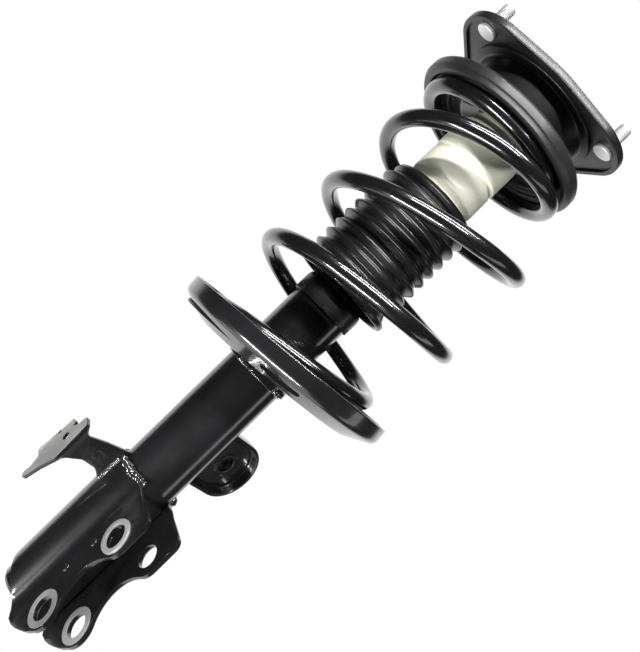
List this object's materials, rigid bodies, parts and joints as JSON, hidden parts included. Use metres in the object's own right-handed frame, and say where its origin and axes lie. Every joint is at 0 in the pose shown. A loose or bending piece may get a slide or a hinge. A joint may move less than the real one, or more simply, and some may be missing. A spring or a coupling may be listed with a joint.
{
  "type": "suspension strut assembly",
  "caption": "Car suspension strut: coil spring over a damper, swivelling stud-mounted top, dust boot and bump stop, and a two-eared knuckle bracket below.",
  "frame": {"origin": "centre of the stud circle, on the damper axis, in the mount plate's top face", "axes": "+Z out along the mounting studs and the damper axis; +X from the damper axis to the knuckle bolts; +Y along the knuckle bolts"},
  "size_m": [0.1814, 0.1814, 0.552],
  "materials": {
    "gloss_black_steel": "gloss black paint over pressed steel",
    "zinc_steel": "bright zinc plate",
    "bare_steel": "ground bare steel",
    "chrome_rod": "hard chrome",
    "sintered_iron": "matte sintered iron",
    "bronze": "sintered bronze bush",
    "black_rubber": "satin moulded rubber",
    "cream_foam": "satin microcellular foam",
    "cage_plastic": "moulded nylon",
    "seal_plastic": "filled low friction plastic"
  },
  "bodies": {
    "upper_mount": {"mount_plate": "gloss_black_steel", "mount_cup": "gloss_black_steel", "mount_studs": "zinc_steel", "mount_rubber": "black_rubber", "bearing_housing": "bare_steel", "bearing_outer_race": "bare_steel", "bearing_seals": "black_rubber"},
    "ball_cage": {"bearing_cage": "cage_plastic", "bearing_balls": "bare_steel"},
    "swivel": {"bearing_inner_race": "bare_steel", "rod_nut": "zinc_steel", "rod_washer": "zinc_steel", "seat_spacer": "bare_steel", "upper_spring_seat": "gloss_black_steel", "upper_insulator": "black_rubber", "bump_stop": "cream_foam", "dust_boot": "black_rubber", "piston_rod": "chrome_rod", "rebound_stop": "bare_steel", "piston": "sintered_iron", "piston_band": "seal_plastic", "piston_valve_discs": "bare_steel", "piston_nut": "zinc_steel", "coil_spring": "gloss_black_steel"},
    "strut_body": {"strut_tube": "gloss_black_steel", "base_cap": "gloss_black_steel", "pressure_tube": "bare_steel", "base_valve": "sintered_iron", "base_valve_discs": "bare_steel", "rod_guide": "sintered_iron", "guide_bush": "bronze", "oil_seal": "black_rubber", "bump_cap": "gloss_black_steel", "lower_spring_seat": "gloss_black_steel", "lower_insulator": "black_rubber", "knuckle_bracket": "gloss_black_steel", "bracket_brace": "gloss_black_steel", "stabilizer_tab": "gloss_black_steel", "hose_bracket": "gloss_black_steel"}
  },
  "joints": [
    {"name": "steer_swivel", "type": "hinge", "parent": "upper_mount", "child": "swivel", "pos_m": [0, 0, -0.014], "axis": [0, 0, 1], "range_deg": [-40, 40]},
    {"name": "cage_turn", "type": "hinge", "parent": "upper_mount", "child": "ball_cage", "pos_m": [0, 0, -0.014], "axis": [0, 0, 1], "range_deg": [-21, 21]},
    {"name": "strut_stroke", "type": "slide", "parent": "swivel", "child": "strut_body", "axis": [0, 0, 1], "range_m": [0, 0.12], "stiffness_N_per_m": 25000, "springref_m": -0.08, "deforming": ["coil_spring", "dust_boot", "bump_stop"]}
  ],
  "couplings": [
    {"joint": "cage_turn", "follows": "steer_swivel", "ratio": 0.39}
  ]
}
